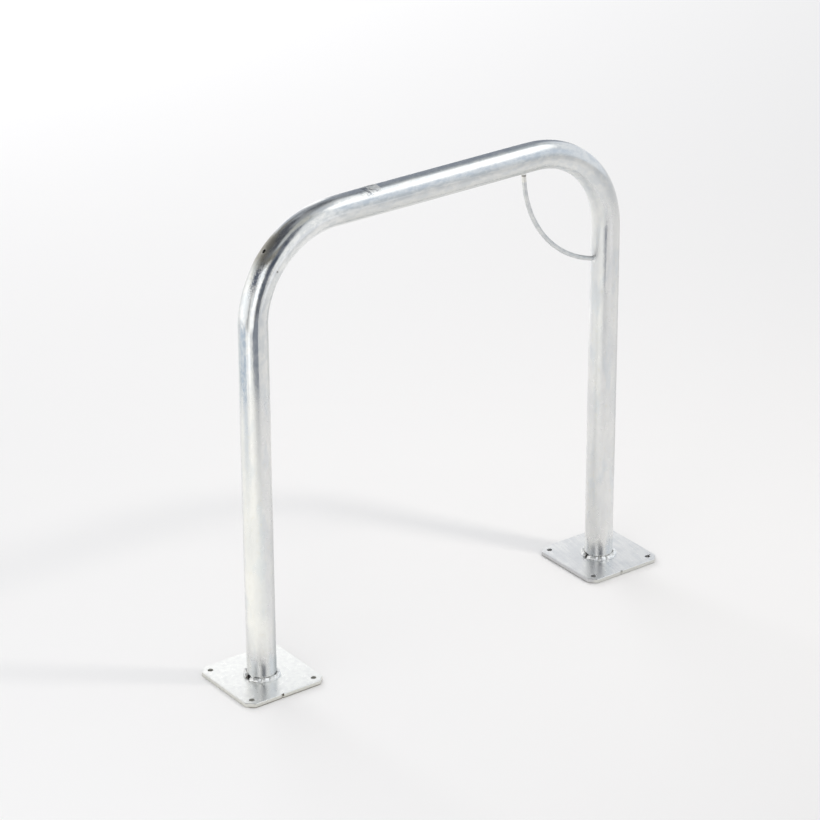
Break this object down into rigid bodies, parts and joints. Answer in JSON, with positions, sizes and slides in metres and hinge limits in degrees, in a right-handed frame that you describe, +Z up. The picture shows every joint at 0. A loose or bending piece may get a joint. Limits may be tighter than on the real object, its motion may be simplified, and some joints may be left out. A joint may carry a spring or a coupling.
{
  "type": "hoop bike rack",
  "caption": "Hoop bicycle stand: one round tube bent into a hoop on two square base plates with corner bolt holes, and a curved lock rod across one upper corner.",
  "frame": {"origin": "on the ground, under the middle of the hoop", "axes": "+X along the hoop from the post without the lock rod to the post with it, +Z up, front towards -Y"},
  "size_m": [0.8518, 0.15, 0.8],
  "materials": {
    "galvanised_tube": "hot-dip galvanised round tube, bright and satin with faint mottling",
    "galvanised_rod": "hot-dip galvanised round bar, satin grey",
    "galvanised_plate": "hot-dip galvanised flat plate, smooth and semi-mirror on its faces, duller on its cut edges",
    "galvanised_weld": "weld beads under bright, lumpy zinc"
  },
  "bodies": {
    "root": {"hoop_tube": "galvanised_tube", "lock_rod": "galvanised_rod", "base_plate_left": "galvanised_plate", "base_plate_right": "galvanised_plate", "weld_left_front": "galvanised_weld", "weld_left_rear": "galvanised_weld", "weld_right_front": "galvanised_weld", "weld_right_rear": "galvanised_weld", "lock_rod_weld_bar": "galvanised_weld", "lock_rod_weld_post": "galvanised_weld"}
  },
  "joints": []
}
